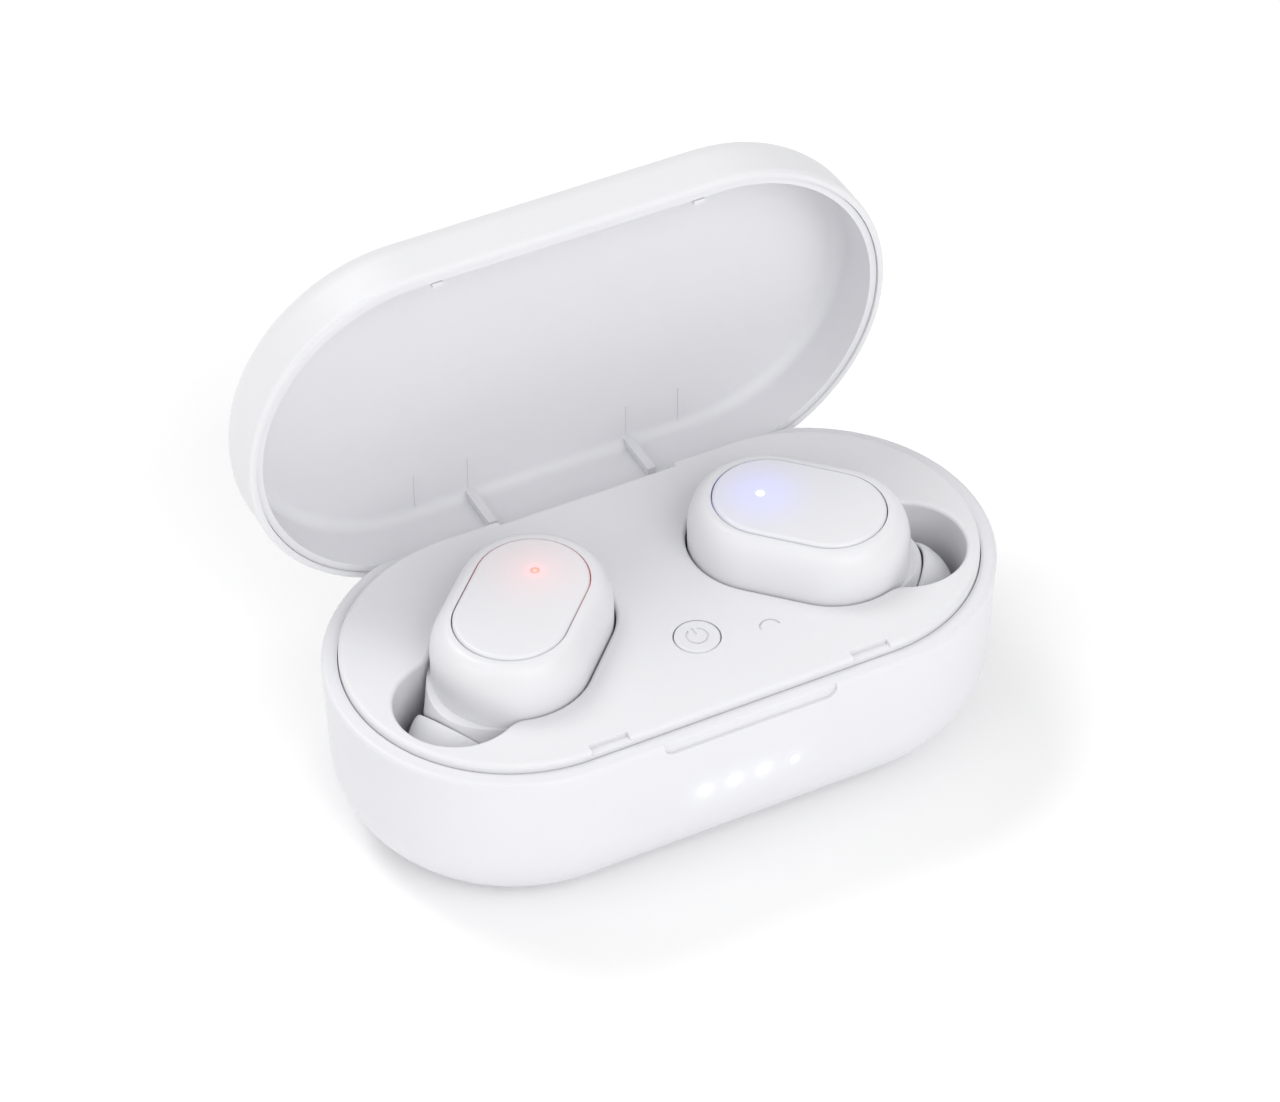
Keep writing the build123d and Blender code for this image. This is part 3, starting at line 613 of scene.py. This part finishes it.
# %% [markdown]
# ## Turning points into pieces
# A mesh is points and the faces between them. Points that lie in rings are joined by rows of four-sided
# faces. Smooth shading hides the facets, except across edges sharper than SMOOTH_ANGLE, such as the rim.

# %% Pieces and rings
SMOOTH_ANGLE = radians(35)


def piece_from(name, points, faces, side):
    """A smooth mesh piece in metres, mirrored where it belongs to the right earbud."""
    flip = -1 if side == "right" else 1
    mesh = bpy.data.meshes.new(name)
    mesh.from_pydata([(flip * x * MM, y * MM, z * MM) for x, y, z in points], [], faces)
    form = bmesh.new()
    form.from_mesh(mesh)
    bmesh.ops.recalc_face_normals(form, faces=form.faces)
    form.to_mesh(mesh)
    form.free()
    mesh.shade_smooth()
    mesh.set_sharp_from_angle(angle=SMOOTH_ANGLE)
    piece = bpy.data.objects.new(name, mesh)
    bpy.context.collection.objects.link(piece)
    return piece


def ring_faces(rings, steps, first=0, closed=False):
    """Quads between rings of points, each ring steps points long."""
    faces = []
    for ring in range(rings if closed else rings - 1):
        low = first + ring * steps
        high = first + ((ring + 1) % rings) * steps
        for step in range(steps):
            after = (step + 1) % steps
            faces.append((low + step, low + after, high + after, high + step))
    return faces


housing_faces = ring_faces(DOWN_STEPS, ROUND_STEPS)
print("the housing's wall has", len(housing_faces), "faces")

# %% [markdown]
# ## Lathe work along the nozzle
# The tube and the tip are round, so each is an outline of radius against distance, turned about the nozzle's
# axis. The outline is closed, so the piece it makes has a wall thickness and no open edges.

# %% Turning an outline
def turned(profile, steps):
    """A closed ring-shaped solid from an outline of (radius, distance along the nozzle)."""
    side_axis = np.cross(out_of_tip, (0.0, 0.0, 1.0))
    side_axis /= np.linalg.norm(side_axis)
    other_axis = np.cross(out_of_tip, side_axis)
    points = []
    for radius, along in profile:
        for step in range(steps):
            angle = 2 * pi * step / steps
            rim = cos(angle) * side_axis + sin(angle) * other_axis
            points.append(ring_centre + along * out_of_tip + radius * rim)
    return points, ring_faces(len(profile), steps, closed=True)


print("the nozzle points along", out_of_tip.round(3))

# %% [markdown]
# ## The nozzle's tube and the silicone tip
# Behind the tip a short tube carries the sound. The tip is an umbrella: a core that grips the tube, a thin
# dome turned back over it and a hollow between. Both are lathe work, a closed outline turned round an axis,
# and a smooth closed curve through a few points gives the silicone its soft lips.

# %% Tube and tip outlines
TUBE_OUTLINE = [
    (2.0, 2.2), (2.0, 4.3), (2.1, 4.4), (2.7, 4.4),
    (2.8, 4.3), (2.8, -0.6), (1.2, -0.6), (1.2, 2.2),
]
TIP_OUTLINE = [
    (2.97, 0.8), (2.97, 3.0), (2.97, 5.2), (3.15, 5.68), (3.6, 5.7), (4.3, 5.1), (4.95, 4.1),
    (5.4, 2.9), (5.6, 1.7), (5.6, 0.8), (5.42, 0.36), (5.12, 0.42), (5.04, 0.9), (5.0, 1.8),
    (4.75, 2.8), (4.25, 3.75), (3.85, 4.05), (3.62, 3.8), (3.6, 2.4), (3.55, 0.9), (3.25, 0.5),
]
TURN_STEPS = 96
CURVE_STEPS = 5


def soft_outline(corners):
    """A closed curve that passes smoothly through every corner."""
    curve = []
    count = len(corners)
    for index in range(count):
        before, start, end, after = (np.array(corners[(index + shift) % count]) for shift in (-1, 0, 1, 2))
        squared = 2 * before - 5 * start + 4 * end - after
        cubed = 3 * start - before - 3 * end + after
        for step in range(CURVE_STEPS):
            t = step / CURVE_STEPS
            curve.append(0.5 * (2 * start + (end - before) * t + squared * t ** 2 + cubed * t ** 3))
    return curve


tip_curve = soft_outline(TIP_OUTLINE)
print("the tip's outline has", len(tip_curve), "points")

# %% [markdown]
# ## Both earbuds' lower parts
# The housing's wall is closed by a fan of triangles to a point on the underside and one flat lid at the seam,
# so it is a closed solid, and the tube joins the same mesh. The tip stays a piece of its own, since it pulls
# off. The right earbud is the left one mirrored, and every piece rides its own earbud when that is lifted.

# %% Housings and tips
last_ring = (DOWN_STEPS - 1) * ROUND_STEPS
foot = len(housing_points)
for step in range(ROUND_STEPS):
    housing_faces.append((last_ring + step, last_ring + (step + 1) % ROUND_STEPS, foot))
housing_faces.append(tuple(reversed(range(ROUND_STEPS))))
tube_points, tube_faces = turned(TUBE_OUTLINE, TURN_STEPS)
tip_points, tip_faces = turned(tip_curve, TURN_STEPS)
all_points = [*housing_points, foot_point, *tube_points]
tube_start = foot + 1
all_faces = housing_faces + [tuple(tube_start + corner for corner in face) for face in tube_faces]

for side in ("left", "right"):
    housing = piece_from(f"lower_housing_{side}", all_points, all_faces, side)
    housing.data.materials.append(side_finishes["bud_white", side].material)
    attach(housing, f"bud_{side}")
    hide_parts(f"bud_inner_{side}")
    tip = piece_from(f"silicone_tip_{side}", tip_points, tip_faces, side)
    tip.data.materials.append(finishes["silicone"].material)
    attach(tip, f"bud_{side}")
    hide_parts(f"ear_tip_{side}")
print("lower housing has", len(all_faces), "faces, tip", len(tip_faces))

# %% [markdown]
# ## Floor and sky
# The case stands on a plain white floor under a white sky, as in a catalogue. The floor is bright enough to
# reach plain white away from the shadow, and it has no shine, so it shows no reflection of the case.

# %% Floor and sky
FLOOR_HALF = 3.0
FLOOR_WHITE = (0.97, 0.97, 0.97)
SKY_STRENGTH = 0.61
floor_mesh = bpy.data.meshes.new("floor")
floor_corners = [
    (-FLOOR_HALF, -FLOOR_HALF, 0), (FLOOR_HALF, -FLOOR_HALF, 0),
    (FLOOR_HALF, FLOOR_HALF, 0), (-FLOOR_HALF, FLOOR_HALF, 0),
]
floor_mesh.from_pydata(floor_corners, [], [(0, 1, 2, 3)])
floor = bpy.data.objects.new("floor", floor_mesh)
bpy.context.collection.objects.link(floor)
floor_finish = Finish("floor", roughness=1.0, specular_ior_level=0.0, base_color=FLOOR_WHITE)
floor_mesh.materials.append(floor_finish.material)

world = bpy.data.worlds.new("sky")
world.use_nodes = True
background = world.node_tree.nodes["Background"]
background.inputs["Color"].default_value = (*WHITE, 1.0)
background.inputs["Strength"].default_value = SKY_STRENGTH
bpy.context.scene.world = world
print("floor", 2 * FLOOR_HALF, "m across, sky strength", SKY_STRENGTH)

# %% [markdown]
# ## Soft lamps
# A large soft lamp high at the back, a little to the left, brightens the tops and lays a soft shadow towards
# the viewer. A wide lamp at the front lights the front wall and the inside of the lid, and a weak one at the
# left keeps that end of the case from going grey. Sizes and places are in metres, powers in watts.

# %% Lamps
def soft_lamp(name, place, aim, size, power):
    """A square soft lamp at a place, turned to face a point."""
    data = bpy.data.lights.new(name, "AREA")
    data.size = size
    data.energy = power
    lamp = bpy.data.objects.new(name, data)
    bpy.context.collection.objects.link(lamp)
    lamp.location = place
    lamp.rotation_euler = (Vector(aim) - Vector(place)).to_track_quat("-Z", "Y").to_euler()
    print(name, "lamp", power, "W at", place)


TRAY_MIDDLE = (0.0, 0.0, 0.02)
CASE_MIDDLE = (0.0, 0.0, 0.03)
soft_lamp("key", (-0.16, 0.42, 0.66), TRAY_MIDDLE, 0.34, 2.1)
soft_lamp("front fill", (0.08, -0.62, 0.46), CASE_MIDDLE, 0.6, 2.8)
soft_lamp("left fill", (-0.62, -0.12, 0.34), CASE_MIDDLE, 0.5, 0.7)

# %% [markdown]
# ## The camera
# A long lens from the front left, looking down by about forty degrees, keeps the two ends of the case nearly
# parallel. The camera is aimed at a point inside the case and turned by azimuth and elevation round it.

# %% Camera
AZIMUTH = radians(-26.72)
ELEVATION = radians(41.95)
ROLL = radians(-0.37)
CAMERA_DISTANCE = 485.1 * MM
LENS = 131.4
SENSOR_WIDTH = 36.0
NEAREST_VIEW = 10 * MM
camera_target = Vector((-2.65, 0.0, 28.31)) * MM

back = Vector((sin(AZIMUTH) * cos(ELEVATION), -cos(AZIMUTH) * cos(ELEVATION), sin(ELEVATION)))
right = Vector((cos(AZIMUTH), sin(AZIMUTH), 0.0))
up = back.cross(right)
rolled_right = cos(ROLL) * right + sin(ROLL) * up
rolled_up = cos(ROLL) * up - sin(ROLL) * right
camera_data = bpy.data.cameras.new("camera")
camera_data.lens = LENS
camera_data.sensor_width = SENSOR_WIDTH
camera_data.clip_start = NEAREST_VIEW
camera = bpy.data.objects.new("camera", camera_data)
turn = Matrix((rolled_right, rolled_up, back)).transposed().to_4x4()
camera.matrix_world = Matrix.Translation(camera_target + CAMERA_DISTANCE * back) @ turn
bpy.context.collection.objects.link(camera)
bpy.context.scene.camera = camera
bpy.context.scene.view_settings.view_transform = "Standard"
print("camera at", [round(value, 3) for value in camera.matrix_world.translation], "m")
